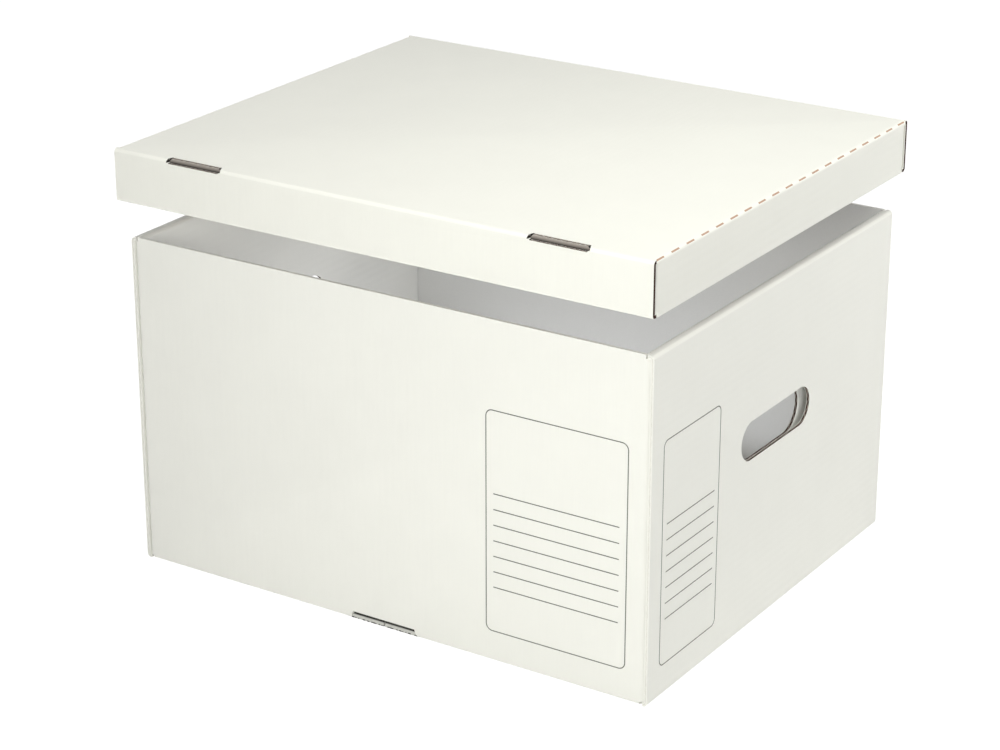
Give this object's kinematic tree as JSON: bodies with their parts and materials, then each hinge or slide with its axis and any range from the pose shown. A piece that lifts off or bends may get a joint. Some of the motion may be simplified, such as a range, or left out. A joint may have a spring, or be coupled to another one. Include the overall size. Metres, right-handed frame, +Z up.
{
  "type": "archive storage box",
  "caption": "Corrugated-board archive box with double end walls, oblong hand holes and a separate telescoping lid that lifts off.",
  "frame": {"origin": "on the resting plane, under the middle of the box", "axes": "+X along the box's length towards the end shown in the picture, +Z up, the long front wall towards -Y"},
  "size_m": [0.4472, 0.3752, 0.327],
  "materials": {
    "base_board": "matt white liner on corrugated board",
    "lid_board": "matt white liner on corrugated board"
  },
  "bodies": {
    "base": {"box_base": "base_board"},
    "lid": {"lid": "lid_board"}
  },
  "joints": [
    {"name": "lid_lift", "type": "slide", "parent": "base", "child": "lid", "axis": [0, 0, 1], "range_m": [-0.0661, 0.15]}
  ]
}
